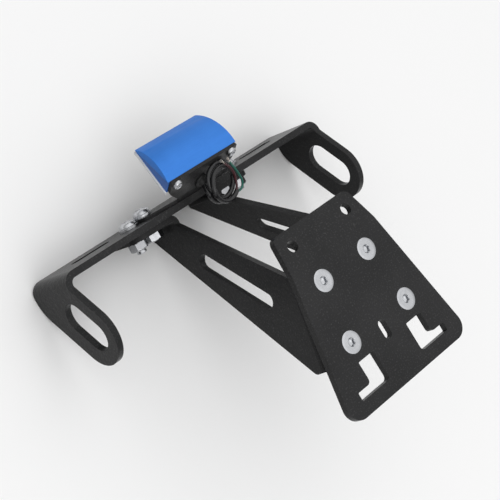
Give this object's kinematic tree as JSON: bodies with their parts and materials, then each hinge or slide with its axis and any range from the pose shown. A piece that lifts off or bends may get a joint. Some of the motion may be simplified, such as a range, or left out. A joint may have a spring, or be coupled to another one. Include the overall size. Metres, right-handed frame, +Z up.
{
  "type": "tail tidy",
  "caption": "Black bent-sheet tail tidy: top plate, two slotted arms, a bar with slotted ears for indicators, and a small blue number plate lamp.",
  "frame": {"origin": "on the top face of the mounting plate, on its centre line, midway between the front and rear pairs of countersunk screws", "axes": "+X to the right ear seen from behind the number plate side forward, +Y rearward along the plate, +Z up out of the plate's top face"},
  "size_m": [0.2064, 0.1799, 0.1188],
  "materials": {
    "black_coat": "satin powder coat with a fine grain",
    "zinc": "bright zinc plate",
    "blue_anodised": "satin blue anodised",
    "dark_blue": "blue anodised, in shade",
    "lens": "milky clear, moulded",
    "board": "green lacquered board",
    "led": "pale yellow silicone",
    "rubber": "matt black",
    "cable_black": "smooth black sheath",
    "wire_green": "smooth insulation",
    "wire_red": "smooth insulation"
  },
  "bodies": {
    "root": {"mounting_plate": "black_coat", "left_arm": "black_coat", "right_arm": "black_coat", "indicator_bar": "black_coat", "plate_screws": "zinc", "plate_washers": "zinc", "plate_nuts": "zinc", "arm_bolts": "zinc", "arm_bolt_washers": "zinc", "arm_nuts": "zinc", "lamp_bracket": "black_coat", "lamp_cover": "blue_anodised", "lamp_body": "dark_blue", "lamp_lens": "lens", "lamp_board": "board", "lamp_leds": "led", "lamp_screws": "zinc", "lead_grommet": "rubber", "lead_coil": "cable_black", "lamp_lead": "cable_black", "green_wire": "wire_green", "red_wire": "wire_red"}
  },
  "joints": []
}
